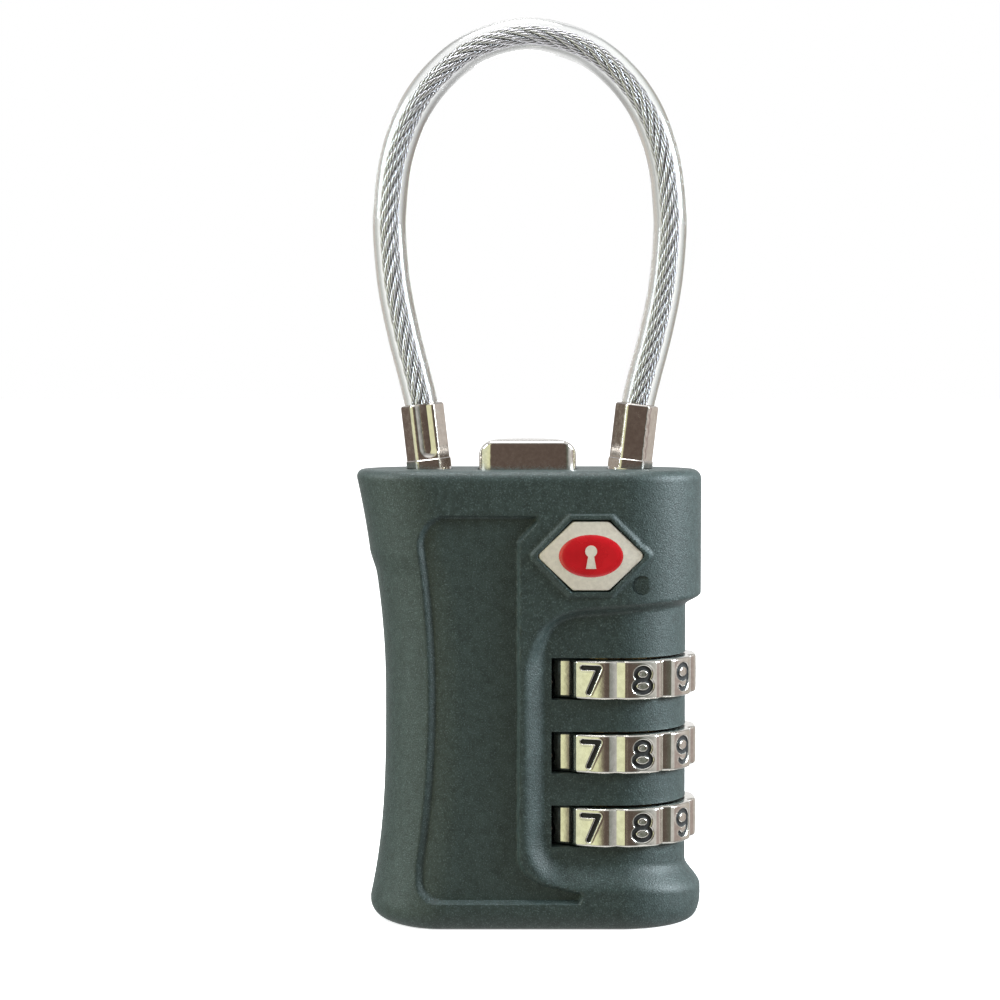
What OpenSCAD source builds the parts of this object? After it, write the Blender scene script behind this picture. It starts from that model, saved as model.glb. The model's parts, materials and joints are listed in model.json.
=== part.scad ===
// Cable luggage lock: a three-dial combination lock with a key override and a cable shackle.
// Frame: millimetres, +Z up, +X to the right when the badge face, which looks to -Y, is seen.

/* [Case] */
// Height of the case without button and cable
case_h = 40.3; // [40:0.05:41]
// Thickness of the case, front to back
case_t = 15; // [14.6:0.1:16]
// Depth of the sunk panel beside the dials
panel_depth = 0.45; // [0.2:0.05:0.7]
// Radius of the ribs between the dials
rib_r = 6.55; // [6.3:0.05:6.8]

/* [Dials] */
// Outer radius of a number dial
dial_r = 7.45; // [7.3:0.05:7.6]
// Thickness of a number dial
dial_t = 3.45; // [3:0.05:3.45]
// Depth of the finger grooves
groove_d = 0.4; // [0.2:0.05:0.6]

/* [Button] */
// How far the button stands over the case
button_up = 2.75; // [2.4:0.05:3.2]
// Radius of the button's upright edges
button_edge = 1.2; // [0.6:0.1:1.6]

/* [Cable] */
// Outer diameter of the clear jacket
jacket_d = 3.0; // [2.6:0.1:3]
// Diameter of the steel rope inside it
rope_d = 1.3; // [1:0.1:1.3]

/* [Hidden] */
$fn = 48;
half_t = case_t / 2;
foot_z = -0.45;          // underside of the case, seen from the plane that the works are set out from
top_z = case_h + foot_z;
right_x = 15.43;         // right edge of the case
left_r = 7.0;            // plan radius of the left edge
foot_r = 2.0;            // fillet round the bottom, seen from the front
foot_flat = 0.45;        // how much of that fillet the thickness takes
crown_r = 0.9;           // fillet round the top
dial_x = 7.55;           // axis of dials, sleeves and spindle
pitch = 6.5;             // from one dial to the next
dial_z = [for (i = [0 : 2]) 21.75 - pitch * i];
dial_drop = 0.17;        // the dials rest this far below their sleeves' middle
window_h = 3.7;
window_drop = 0.13;
window_x = 1.85;
sleeve_r = 4.4;
sleeve_bore = 3.2;
fin_r = 2.7;
spindle_r = 1.6;
screw_r = 0.6;
key_x = -6.2;            // axis of the key cylinder
plug_r = 2.9;
lean = 6.6;              // outward lean of both cable ends, degrees
ferrule_x = 9.0;
pin_r = 1.95;            // the part of a cable end that sits in the case
cross_r = 0.5;           // cross pins of the fixed cable end and of the key cylinder
case_pin_r = 0.6;
button_c = -0.2;         // middle of the button
button_w = 8.7;
button_d = 6.0;
button_top = top_z + button_up;
crown_R = 21.25;         // radius of the button's crowned top
clip_z = 33.9;           // underside of the latch clip
clip_t = 0.7;
badge_c = [5.25, 32.5];
end_pin = [-8.79, 38.05];
barrel_hole = [-2.3, 8];
case_pins = [[-11.4, 16.5], [-3.2, 19], [12.8, 37.2], [-12.6, 37.2]];

// Half of the cable's route, from the ferrule socket to the top: [x, z]
half_route = [[9.14, 41.05], [9.42, 43.5], [9.8, 46], [10.4, 48.5], [11.3, 52], [12.1, 56],
    [12.5, 60], [12.52, 63], [11.95, 67.5], [10.4, 71.8], [7.9, 75.15], [4.6, 77.5], [0, 78.55]];
n_half = len(half_route);
route = [for (i = [0 : 2 * n_half - 2]) i < n_half
    ? [-half_route[i][0], half_route[i][1]] : half_route[2 * n_half - 2 - i]];

// Left edge of the case: waisted, with a soft shoulder below the top
waist_z = 19.4;
function ease(t) = let (u = min(1, max(0, t))) u * u * (3 - 2 * u);
function left_x(z) = -12.97 - (z > waist_z ? 0.0066 * pow(z - waist_z, 2) : 2.15e-4 * pow(waist_z - z, 3))
    - 0.27 * ease((z - 30.4) / 2.2) * min(1, max(0, (38.8 - z) / 6.2));
function round_in(r, h) = r - sqrt(max(0, r * r - pow(r - h, 2)));
function inset(z) = z < foot_z + foot_r ? round_in(foot_r, z - foot_z)
    : z > top_z - crown_r ? round_in(crown_r, top_z - z) : 0;
function inset_y(z) = inset(z) * (z < foot_z + foot_r ? foot_flat : 1);
levels = concat([for (a = [0 : 22.5 : 90]) foot_z + foot_r * (1 - cos(a))],
    [for (i = [1 : 16]) foot_r + i * 2.1], [for (a = [0 : 22.5 : 90]) top_z - crown_r * (1 - sin(a))]);
arc_n = 12;
function edge(z) = let (a = left_r - inset(z), c = half_t - inset_y(z)) concat(
    [for (k = [0 : arc_n]) let (t = 180 + 90 * k / arc_n)
        [left_x(z) + left_r + a * cos(t), c * sin(t), z]],
    [for (k = [0 : arc_n]) let (t = 270 + 90 * k / arc_n)
        [right_x - half_t + c * cos(t), k == arc_n ? 0 : c * sin(t), z]]);

// Front half of the case as one block
module half_block() {
    rings = [for (z = levels) edge(z)];
    n = 2 * arc_n + 2;
    m = len(levels);
    pts = [for (r = rings) each [for (p = r) [p[0], p[1] > -1e-9 ? 0 : p[1], p[2]]]];
    side = [for (j = [0 : m - 2]) for (k = [0 : n - 2]) each [
        [j * n + k, (j + 1) * n + k, j * n + k + 1],
        [j * n + k + 1, (j + 1) * n + k, (j + 1) * n + k + 1]]];
    back = concat([for (j = [0 : m - 1]) j * n], [for (j = [m - 1 : -1 : 0]) j * n + n - 1]);
    polyhedron(points = pts, faces = concat(side,
        [[for (k = [0 : n - 1]) k]], [[for (k = [n - 1 : -1 : 0]) (m - 1) * n + k]],
        [[for (k = [len(back) - 1 : -1 : 0]) back[k]]]), convexity = 4);
}

// Closed outline of two half circles joined by straight lines
function slot_plan(x0, x1, r, n = 24) = concat(
    [for (k = [0 : n]) let (t = 90 + 180 * k / n) [x0 + r * cos(t), r * sin(t)]],
    [for (k = [0 : n]) let (t = -90 + 180 * k / n) [x1 + r * cos(t), r * sin(t)]]);
function box_plan(w, d, r, n = 6) = [for (q = [0 : 3]) for (k = [0 : n])
    let (t = 90 * q + 90 * k / n, sx = (q == 0 || q == 3) ? 1 : -1, sy = q < 2 ? 1 : -1)
    [sx * (w / 2 - r) + r * cos(t), sy * (d / 2 - r) + r * sin(t)]];
function hex_plan(w, h, top) = [[w / 2, 0], [top / 2, h / 2], [-top / 2, h / 2],
    [-w / 2, 0], [-top / 2, -h / 2], [top / 2, -h / 2]];
function oval(a, b, n = 32) = [for (k = [0 : n - 1]) [a * cos(360 * k / n), b * sin(360 * k / n)]];

// A flat outline in X and Z, pushed from y0 to y1
module slab_y(plan, y0, y1) {
    translate([0, y1, 0]) rotate([90, 0, 0]) linear_extrude(y1 - y0) polygon(plan);
}
module rod_y(x, z, r, y0, y1) {
    translate([x, y0, z]) rotate([-90, 0, 0]) cylinder(r = r, h = y1 - y0);
}
// Places a child on the leaning axis of a cable end: side 1 right, -1 left
module on_lean(side) {
    translate([side * ferrule_x, 0, top_z]) rotate([0, side * lean, 0]) children();
}

// Round wire along a route of points, each with the two directions across it
module sweep(rings) {
    n = len(rings[0]);
    m = len(rings);
    polyhedron(points = [for (r = rings) each r], faces = concat(
        [for (j = [0 : m - 2]) for (k = [0 : n - 1]) each [
            [j * n + k, (j + 1) * n + k, j * n + (k + 1) % n],
            [j * n + (k + 1) % n, (j + 1) * n + k, (j + 1) * n + (k + 1) % n]]],
        [[for (k = [0 : n - 1]) k]], [[for (k = [n - 1 : -1 : 0]) (m - 1) * n + k]]),
        convexity = 10);
}
// Coil spring standing on z = 0
module coil(r, wire, turns, h, per = 14, sides = 6) {
    steps = per * turns;
    rise = (h - 2 * wire) / steps;
    sweep([for (j = [0 : steps]) let (a = 360 * j / per, z = wire + rise * j)
        [for (k = [0 : sides - 1]) let (b = 360 * k / sides, q = r + wire * cos(b))
            [q * cos(a), q * sin(a), z + wire * sin(b)]]]);
}

// Smooth curve through the route's points
function knot(i) = i < 0 ? 2 * route[0] - route[1]
    : i > len(route) - 1 ? 2 * route[len(route) - 1] - route[len(route) - 2] : route[i];
function smooth(i, t) = let (a = knot(i - 1), b = knot(i), c = knot(i + 1), d = knot(i + 2))
    0.5 * (2 * b + (c - a) * t + (2 * a - 5 * b + 4 * c - d) * t * t
        + (3 * b - a - 3 * c + d) * t * t * t);
curve = concat([for (i = [0 : len(route) - 2]) for (s = [0 : 2]) smooth(i, s / 3)],
    [route[len(route) - 1]]);
function along(i) = let (a = curve[max(0, i - 1)], b = curve[min(len(curve) - 1, i + 1)], d = b - a)
    d / norm(d);
function cable_rings(r) = [for (i = [0 : len(curve) - 1]) let (d = along(i))
    [for (k = [0 : 7]) let (b = 45 * k + 22.5)
        [curve[i][0] - d[1] * r * cos(b), r * sin(b), curve[i][1] + d[0] * r * cos(b)]]];

// Sunk panel on the left of the face, in X and Z
panel_plan = concat([[-8.2, 35.9], [0.9, 35.9], [-1.05, 33.8], [-1.05, 7.4], [-0.92, 5.5],
    [-0.05, 4.1], [1.3, 3.6], [3.5, 3], [4.2, 2.5], [3.9, 2.05], [-8.9, 2.05], [-9.7, 2.8]],
    [for (k = [0 : 12]) let (z = 4.2 + k * 2.53) [-8.71 - pow(z - 19.8, 2) / 188, z]],
    [[-9.5, 35]]);

// Everything that is hollow in both halves of the case
module hollows() {
    // step down to the ribs, round the dials
    translate([0, 0, 3.8]) linear_extrude(23) difference() {
        translate([1.3, -9]) square([20, 18]);
        polygon(slot_plan(-6, dial_x, rib_r));
    }
    for (y = [-9, half_t - panel_depth]) slab_y(panel_plan, y, y + 9 - half_t + panel_depth);
    for (z = dial_z) translate([dial_x, 0, z - window_drop - window_h / 2]) {
        cylinder(r = dial_r + 0.2, h = window_h, $fn = 72);
        translate([window_x - dial_x, -9, 0]) cube([20, 18, window_h]);
    }
    // tunnel of the clutch sleeves, and the spindle's lower bearing
    translate([dial_x, 0, 3.9]) cylinder(r = sleeve_r + 0.1, h = 23);
    translate([dial_x, 0, 0.5]) cylinder(r = spindle_r + 0.08, h = 5);
    // works space over the dials, and the well of the button
    translate([0, 0, 25.5]) linear_extrude(9.8) polygon(slot_plan(-7, dial_x, 5));
    translate([-5.35, -3.75, 34]) cube([10.3, 7.5, 4]);
    translate([button_c, 0, 37]) linear_extrude(4)
        polygon(box_plan(button_w + 0.2, button_d + 0.2, button_edge + 0.1));
    on_lean(1) translate([0, 0, -7.5]) cylinder(r = pin_r + 0.1, h = 9);
    on_lean(-1) translate([0, 0, -3.7]) cylinder(r = pin_r + 0.1, h = 5);
    rod_y(end_pin[0], end_pin[1], cross_r + 0.02, -4.6, 4.6);
    // key cylinder, its keyhole and the shaft above it
    translate([key_x, 0, 0.3]) cylinder(r = 4.03, h = 13.1);
    translate([key_x, 0, -1]) cylinder(r = 3, h = 3);
    translate([key_x, 0, 13]) cylinder(r = 1.2, h = 13);
    rod_y(barrel_hole[0], barrel_hole[1], cross_r + 0.02, -4.6, 4.6);
    for (p = case_pins) rod_y(p[0], p[1], case_pin_r + 0.02, -3.7, 3.7);
}

// Shelves that carry the latch clip
module shelves() {
    for (x = [-9.6, 2.8], s = [-1, 1])
        translate([x, s > 0 ? 1.45 : -5.2, 32.4]) cube([1.9, 3.75, 1.5]);
}

module front_shell() color("#3d4b47") {
    difference() {
        union() {
            difference() {
                half_block();
                hollows();
            }
            intersection() {
                shelves();
                translate([-20, -9, 0]) cube([40, 9, 40]);
            }
            // rim of the badge seat
            translate([badge_c[0], 0, badge_c[1]]) slab_y(hex_plan(10.6, 7.1, 3.7), -7.68, -6.6);
        }
        translate([badge_c[0], 0, badge_c[1]]) slab_y(hex_plan(9.56, 6.2, 3.2), -9, -6.75);
        rod_y(9.7, 29.9, 0.85, -9, -7.2);
    }
}
module rear_shell() color("#3d4b47") {
    difference() {
        union() {
            difference() {
                mirror([0, 1, 0]) half_block();
                hollows();
            }
            intersection() {
                shelves();
                translate([-20, 0, 0]) cube([40, 9, 40]);
            }
        }
        // room of the detent spring, and the slot of the reset slide
        translate([-1.3, 1.2, 5.6]) cube([1.8, 3.9, 19.3]);
        translate([dial_x - 1.3, 3, 24.85]) cube([2.6, 6, 1.75]);
    }
}
module badge_plate() color("#c9c9c4") difference() {
    translate([badge_c[0], 0, badge_c[1]]) slab_y(hex_plan(9.3, 5.95, 3.1), -7.72, -6.8);
    translate([badge_c[0], 0, badge_c[1]]) slab_y(oval(2.9, 1.95), -8, -7.42);
}
// Oval inlay with a keyhole cut through it
module badge_inlay() color("#b02a2c") translate([badge_c[0], 0, badge_c[1]]) difference() {
    slab_y(oval(2.86, 1.91), -7.72, -7.44);
    rod_y(0, 0.45, 0.55, -8, -7);
    slab_y([[-0.22, 0.2], [0.22, 0.2], [0.42, -1.05], [-0.42, -1.05]], -8, -7);
}

module release_button() color("#d8d8d6") difference() {
    union() {
        intersection() {
            translate([button_c, 0, 37.2]) linear_extrude(10)
                polygon(box_plan(button_w, button_d, button_edge));
            rod_y(button_c, button_top - crown_R, crown_R, -5, 5);
        }
        translate([-4.95, -3.5, 37.2]) cube([9.5, 7, 0.7]);
        // stem with the wedge that spreads the latch clip
        slab_x([[-1.1, 29.7], [1.1, 29.7], [1.1, 35.3], [2, 36.2], [2, 37.3], [-2, 37.3], [-2, 36.2],
            [-1.1, 35.3]], -1.7, 1.3);
        translate([-1.7, -1.6, 29.7]) cube([dial_x + 3.4, 3.2, 1.8]);
    }
    translate([dial_x, 0, 29]) cylinder(r = screw_r + 0.03, h = 4);
}
// A flat outline in Y and Z, pushed from x0 to x1
module slab_x(plan, x0, x1) {
    translate([x0, 0, 0]) rotate([90, 0, 90]) linear_extrude(x1 - x0) polygon(plan);
}
// Spindle with one fin for each dial; the fins point to the index side
module spindle() color("#b9b9b4") translate([dial_x, 0, 0]) difference() {
    union() {
        translate([0, 0, 3]) cylinder(r = spindle_r, h = 26.7);
        for (z = dial_z) translate([1.2, -0.4, z + 0.55]) cube([fin_r - 1.2, 0.8, 0.6]);
    }
    translate([0, 0, 26.9]) cylinder(r = screw_r + 0.03, h = 4);
}
module spindle_screw() color("#9d9d98") translate([dial_x, 0, 0]) difference() {
    union() {
        translate([0, 0, 31.5]) cylinder(r = 1.5, h = 0.9);
        translate([0, 0, 27.2]) cylinder(r = screw_r, h = 4.4);
    }
    translate([-1.05, -0.2, 32]) cube([2.1, 0.4, 1]);
    translate([-0.2, -1.05, 32]) cube([0.4, 2.1, 1]);
}
module button_spring() color("#c4c4be") translate([button_c, 0, 25.5])
    coil(1.35, 0.2, 4, 4.2);
// Spring-steel hairpin that grips the free cable end's groove
module latch_clip() color("#a9a9a4") translate([0, 0, clip_z]) linear_extrude(clip_t)
    polygon([[-9.6, -1.2], [-9.05, -1.75], [-8.7, -1.95], [10.2, -1.95], [10.6, -2.3], [10.9, -1.9],
        [10.5, -1.25], [-8.4, -1.25], [-8.75, -0.9], [-8.75, 0.9], [-8.4, 1.25], [10.5, 1.25],
        [10.9, 1.9], [10.6, 2.3], [10.2, 1.95], [-8.7, 1.95], [-9.05, 1.75], [-9.6, 1.2]]);

// Number dial: ten lands with grooves between, a notched ring on top inside
module dial(i) color("#cfcfc8") translate([dial_x, 0, dial_z[i] - dial_drop]) {
    bevel = 0.3;
    difference() {
        rotate_extrude($fn = 120) polygon([[4.46, dial_t / 2 - 0.7], [4.46, dial_t / 2],
            [dial_r - bevel, dial_t / 2], [dial_r, dial_t / 2 - bevel], [dial_r, bevel - dial_t / 2],
            [dial_r - bevel, -dial_t / 2], [5.3, -dial_t / 2], [5.3, dial_t / 2 - 0.7]]);
        for (k = [0 : 9]) rotate(18 + 36 * k) translate([0, 0, -3]) linear_extrude(6)
            polygon([[dial_r - groove_d, 0], [dial_r + 0.2, -1.1], [dial_r + 0.2, 1.1]]);
        for (k = [0 : 9]) rotate(36 * k) translate([4.2, -0.5, dial_t / 2 - 0.8]) cube([1, 1, 2]);
    }
}
module dial_1() { dial(0); }
module dial_2() { dial(1); }
module dial_3() { dial(2); }

// Clutch sleeve: turns with its dial, its gate lets the spindle's fin through at the set number
module sleeve(i) color("#c8a24a") translate([dial_x, 0, dial_z[i]]) difference() {
    union() {
        rotate_extrude() polygon([[sleeve_bore, -pitch / 2], [sleeve_r, -pitch / 2],
            [sleeve_r, pitch / 2 - 0.05], [sleeve_bore, pitch / 2 - 0.05], [sleeve_bore, 0.4],
            [1.75, 0.4], [1.75, -0.4], [sleeve_bore, -0.4]]);
        translate([4, -0.4, 0.95 - dial_drop]) cube([1.1, 0.8, 0.5]);
    }
    translate([1, -0.55, -0.6]) cube([1.95, 1.1, 1.2]);
}
module clutch_sleeve_1() { sleeve(0); }
module clutch_sleeve_2() { sleeve(1); }
module clutch_sleeve_3() { sleeve(2); }
module sleeve_spring() color("#c4c4be") translate([dial_x, 0, 3.9]) coil(3.7, 0.17, 2.5, 1.55, 18);

// Slide on the back that pushes the sleeves out of their dials to set new numbers
module reset_slide() color("#20292a") difference() {
    union() {
        translate([dial_x, 0, 25.05]) cylinder(r = 4.3, h = 1.4);
        translate([dial_x - 1.1, 3, 25.5]) cube([2.2, 4, 0.95]);
        translate([dial_x - 2, 6.65, 24.7]) cube([4, 1.07, 1.75]);
    }
    translate([dial_x, 0, 24]) cylinder(r = spindle_r + 0.2, h = 4);
    for (k = [-1 : 1]) translate([dial_x + k * 1.1 - 0.2, 7.5, 24]) cube([0.4, 1, 4]);
}
// Leaf with one finger for each dial
module detent_spring() color("#b4b4ae") {
    translate([-1.2, 1.4, 6]) cube([0.25, 3.5, 18.5]);
    for (z = dial_z) translate([0, 0, z - 0.7]) linear_extrude(1.4)
        polygon([[-1, 4.7], [-1, 4.35], [0.55, 2.36], [0.6, 2.2], [0.5, 2.1], [0.1, 2.1], [-0.1, 1.85],
            [0.05, 1.8], [0.2, 1.95], [0.6, 1.95], [0.8, 2.2], [0.72, 2.45]]);
}

// Crimped end of the cable, pin first
module ferrule_body(pin) difference() {
    union() {
        rotate_extrude() polygon(pin);
        translate([0, 0, 0.6]) cylinder(r = pin_r, h = 5.3, $fn = 6);
    }
    translate([0, 0, 1]) cylinder(r = 1.55, h = 6);
}
module fixed_ferrule() color("#d3d3cf") difference() {
    on_lean(-1) ferrule_body([[0, -3.5], [pin_r - 0.2, -3.5], [pin_r, -3.3], [pin_r, 0],
        [2, 0], [2, 0.65], [0, 0.65]]);
    rod_y(end_pin[0], end_pin[1], cross_r + 0.02, -4, 4);
}
module ferrule_pin() color("#a0a09b") rod_y(end_pin[0], end_pin[1], cross_r, -4.5, 4.5);
module free_ferrule() color("#d3d3cf") on_lean(1) ferrule_body([[0, -6.95], [1.3, -6.95],
    [pin_r, -6.3], [pin_r, -6.12], [1.2, -6.12], [1.2, -5.15], [pin_r, -5.15], [pin_r, 0],
    [2, 0], [2, 0.65], [0, 0.65]]);
module cable_rope() color("#8f8f88") sweep(cable_rings(rope_d / 2));
// Tube with a bore: the outer skin runs up, the inner skin runs back
module cable_jacket() color("#dfe6e0", 0.4) {
    outer = cable_rings(jacket_d / 2);
    inner = cable_rings(rope_d / 2 + 0.08);
    rings = concat(outer, [for (i = [len(inner) - 1 : -1 : 0]) inner[i]]);
    n = len(rings[0]);
    m = len(rings);
    polyhedron(points = [for (r = rings) each r], convexity = 10,
        faces = [for (j = [0 : m - 1]) for (k = [0 : n - 1]) each [
            [j * n + k, (j + 1) % m * n + k, j * n + (k + 1) % n],
            [j * n + (k + 1) % n, (j + 1) % m * n + k, (j + 1) % m * n + (k + 1) % n]]]);
}

module key_barrel() color("#b8923e") difference() {
    translate([key_x, 0, 0.35]) cylinder(r = 4, h = 12.85);
    translate([key_x, 0, 0.95]) cylinder(r = plug_r + 0.05, h = 14);
    translate([key_x, 0, 0]) cylinder(r = 2.4, h = 3);
    rod_y(barrel_hole[0], barrel_hole[1], cross_r + 0.02, -4.6, 4.6);
}
wafer_z = [for (i = [0 : 4]) 3.2 + 1.7 * i];
module key_plug() color("#d2b05a") translate([key_x, 0, 0]) difference() {
    union() {
        translate([0, 0, 1]) cylinder(r = plug_r, h = 12.1);
        translate([0, 0, 13]) cylinder(r = 1, h = 20.8);
        translate([-0.55, -0.55, 33]) cube([1.1, 1.1, 2.2]);
    }
    translate([-0.6, -2.1, 0]) cube([1.2, 4.2, 11.6]);
    for (z = wafer_z) translate([0, 0, z]) {
        translate([-1.2, -4, 0]) cube([2.4, 8, 0.7]);
        translate([1.1, -1.35, 0]) cube([0.98, 3.1, 0.7]);
    }
}
module key_wafers() color("#c7c7c2") translate([key_x, 0, 0])
    for (z = wafer_z) translate([0, 0, z + 0.05]) difference() {
        union() {
            translate([-1.15, -2.6, 0]) cube([2.3, 5.2, 0.6]);
            translate([1, 1.2, 0]) cube([1, 0.45, 0.6]);
        }
        translate([-0.65, -2.15, -1]) cube([1.3, 4.3, 3]);
    }
module wafer_springs() color("#c4c4be") for (z = wafer_z)
    translate([key_x + 1.68, 1.18, z + 0.35]) rotate([90, 0, 0]) coil(0.2, 0.08, 5, 2.45, 8, 4);
module key_cam() color("#a9a9a4") translate([key_x, 0, clip_z]) linear_extrude(clip_t) difference() {
    polygon(oval(1.8, 1.15, 24));
    square(1.16, center = true);
}
module cam_clip() color("#8e8e88") translate([key_x, 0, clip_z + 0.75]) linear_extrude(0.3) difference() {
    circle(r = 1.15);
    square(1.16, center = true);
    translate([-0.3, -2]) square([0.6, 2]);
}
module barrel_pin() color("#a0a09b") rod_y(barrel_hole[0], barrel_hole[1], cross_r, -4.5, 4.5);
module case_pin(i) color("#a0a09b") rod_y(case_pins[i][0], case_pins[i][1], case_pin_r, -3.6, 3.6);
module case_pin_1() { case_pin(0); }
module case_pin_2() { case_pin(1); }
module case_pin_3() { case_pin(2); }
module case_pin_4() { case_pin(3); }

module lifted() translate([0, 0, -foot_z]) children();
lifted() front_shell();
lifted() rear_shell();
lifted() badge_plate();
lifted() badge_inlay();
lifted() release_button();
lifted() spindle();
lifted() spindle_screw();
lifted() button_spring();
lifted() latch_clip();
lifted() dial_1();
lifted() dial_2();
lifted() dial_3();
lifted() clutch_sleeve_1();
lifted() clutch_sleeve_2();
lifted() clutch_sleeve_3();
lifted() sleeve_spring();
lifted() reset_slide();
lifted() detent_spring();
lifted() fixed_ferrule();
lifted() ferrule_pin();
lifted() free_ferrule();
lifted() cable_rope();
lifted() cable_jacket();
lifted() key_barrel();
lifted() key_plug();
lifted() key_wafers();
lifted() wafer_springs();
lifted() key_cam();
lifted() cam_clip();
lifted() barrel_pin();
lifted() case_pin_1();
lifted() case_pin_2();
lifted() case_pin_3();
lifted() case_pin_4();
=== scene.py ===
"""Cable luggage lock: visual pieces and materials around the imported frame.

Lengths are in millimetres, from a plane just above the case's underside, until make_piece().
"""
import json
import math
import bmesh
import bpy
import numpy as np
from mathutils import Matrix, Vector


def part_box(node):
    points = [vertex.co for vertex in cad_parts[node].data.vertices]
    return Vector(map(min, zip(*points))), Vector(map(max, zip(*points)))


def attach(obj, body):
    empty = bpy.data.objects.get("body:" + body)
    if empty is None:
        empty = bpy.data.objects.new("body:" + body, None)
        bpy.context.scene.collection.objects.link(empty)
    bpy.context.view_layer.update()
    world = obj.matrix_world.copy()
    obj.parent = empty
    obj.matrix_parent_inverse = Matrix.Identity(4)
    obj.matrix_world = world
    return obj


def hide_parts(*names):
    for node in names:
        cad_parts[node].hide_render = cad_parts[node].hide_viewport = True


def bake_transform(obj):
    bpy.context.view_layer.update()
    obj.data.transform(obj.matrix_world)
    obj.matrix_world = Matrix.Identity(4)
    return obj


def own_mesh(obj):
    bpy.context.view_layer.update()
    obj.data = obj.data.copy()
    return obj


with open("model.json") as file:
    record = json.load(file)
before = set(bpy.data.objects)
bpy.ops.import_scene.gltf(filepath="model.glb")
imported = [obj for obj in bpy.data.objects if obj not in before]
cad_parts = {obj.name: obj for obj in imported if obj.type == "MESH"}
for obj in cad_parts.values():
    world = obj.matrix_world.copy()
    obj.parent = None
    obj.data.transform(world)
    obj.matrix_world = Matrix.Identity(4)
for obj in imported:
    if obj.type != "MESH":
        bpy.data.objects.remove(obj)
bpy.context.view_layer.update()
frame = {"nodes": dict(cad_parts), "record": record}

MM = 0.001
LIFT = 0.45      # the case's underside is this far below the plane that the pieces are set out from


# ---------------------------------------------------------------- places, read from the frame
def node_box(name):
    low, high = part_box(name)
    return np.array(low) / MM - [0, 0, LIFT], np.array(high) / MM - [0, 0, LIFT]


def node_middle(name):
    low, high = node_box(name)
    return (low + high) / 2


CASE_LOW, CASE_HIGH = node_box("front_shell")
CASE_H = CASE_HIGH[2]
FOOT_Z = CASE_LOW[2]
RIGHT_X = CASE_HIGH[0]
HALF_T = node_box("rear_shell")[1][1]
DIAL_X = node_middle("dial_1")[0]
DIAL_Z = [node_middle(f"dial_{i}")[2] for i in (1, 2, 3)]
DIAL_R = (node_box("dial_1")[1][0] - node_box("dial_1")[0][0]) / 2
DIAL_T = node_box("dial_1")[1][2] - node_box("dial_1")[0][2]
KEY_X = node_middle("key_barrel")[0]
BUTTON_TOP = node_box("release_button")[1][2]
BADGE = node_middle("badge_plate")
RIGHT_C = RIGHT_X - HALF_T   # centre of the case's right edge in plan

LEFT_R = 7.0         # plan radius of the case's left edge
RIB_R = 6.5          # plan radius of the case round the dials' axis
FOOT_R = 2.0         # fillet round the bottom, seen from the front
FOOT_FLAT = 0.45     # how much of that fillet the thickness takes
CROWN_R = 0.9        # fillet round the top
SEAM = 0.06          # depth of the line where the two halves meet
PANEL_DEPTH = 0.56
WINDOW_X = 1.85      # left edge of the dials' windows
WINDOW_H = 3.7
WINDOW_UP = 0.04     # how far the windows' middles are above the dials'
BADGE_RIM = 0.27     # how far the rim round the badge stands out
BADGE_UP = 0.2       # how far the badge itself does
BADGE_POCKET = 0.7   # depth of the pocket that the badge lies in
LEAN = math.radians(6.6)
FERRULE_X = 9.0      # the cable ends' leaning axes leave the case at this place
FERRULE_Z = 39.85
PIN_R = 1.95         # the part of a cable end that sits in the case
JACKET_D = 3.0
BUTTON_X = -0.2      # middle of the button
BUTTON_W = 8.7
BUTTON_D = 6.0
BUTTON_EDGE = 1.2    # radius of its upright edges
BUTTON_FLANGE_Z = 37.2
BUTTON_ARM_Z = 29.7  # underside of the button's stem and of the arm over the spindle
DOME_R = 700
DOME_UP = 30         # how far the dome's middle is above the pieces' plane


# ---------------------------------------------------------------- small tools
def smooth(t):
    t = np.clip(t, 0, 1)
    return t * t * (3 - 2 * t)


def make_piece(name, points, faces, sharp=35):
    """Object from points in millimetres, shaded smooth except at edges over `sharp` degrees."""
    mesh = bpy.data.meshes.new(name)
    mesh.from_pydata(((np.asarray(points, float) + [0, 0, LIFT]) * MM).tolist(), [], faces)
    work = bmesh.new()
    work.from_mesh(mesh)
    bmesh.ops.recalc_face_normals(work, faces=work.faces)
    work.to_mesh(mesh)
    work.free()
    obj = bpy.data.objects.new(name, mesh)
    bpy.context.scene.collection.objects.link(obj)
    shade(obj, sharp)
    return obj


def shade(obj, sharp=35):
    mesh = obj.data
    mesh.polygons.foreach_set("use_smooth", [True] * len(mesh.polygons))
    mesh.set_sharp_from_angle(angle=math.radians(sharp))
    mesh.update()


def grid_faces(rows, cols, wrap=False, start=0):
    """Quads over a grid of points; wrap joins the last column to the first."""
    last = cols if wrap else cols - 1
    return [(start + j * cols + k, start + j * cols + (k + 1) % cols,
             start + (j + 1) * cols + (k + 1) % cols, start + (j + 1) * cols + k)
            for j in range(rows - 1) for k in range(last)]


def tube(rings):
    """Points and faces of a closed tube through rings of equal length."""
    rings = np.asarray(rings)
    rows, cols = rings.shape[:2]
    faces = grid_faces(rows, cols, wrap=True)
    faces += [tuple(range(cols))[::-1], tuple(range((rows - 1) * cols, rows * cols))]
    return rings.reshape(-1, 3), faces


def join_parts(parts):
    """One list of points and faces from several."""
    points, faces, count = [], [], 0
    for p, f in parts:
        points.append(np.asarray(p, float))
        faces += [tuple(i + count for i in face) for face in f]
        count += len(p)
    return np.vstack(points), faces


def prism(plan, z0, z1):
    plan = np.asarray(plan, float)
    low = np.column_stack([plan, np.full(len(plan), z0)])
    high = np.column_stack([plan, np.full(len(plan), z1)])
    return tube([low, high])


def circle(r, n=64, x=0.0, y=0.0):
    a = np.arange(n) * 2 * math.pi / n
    return np.column_stack([x + r * np.cos(a), y + r * np.sin(a)])


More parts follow.
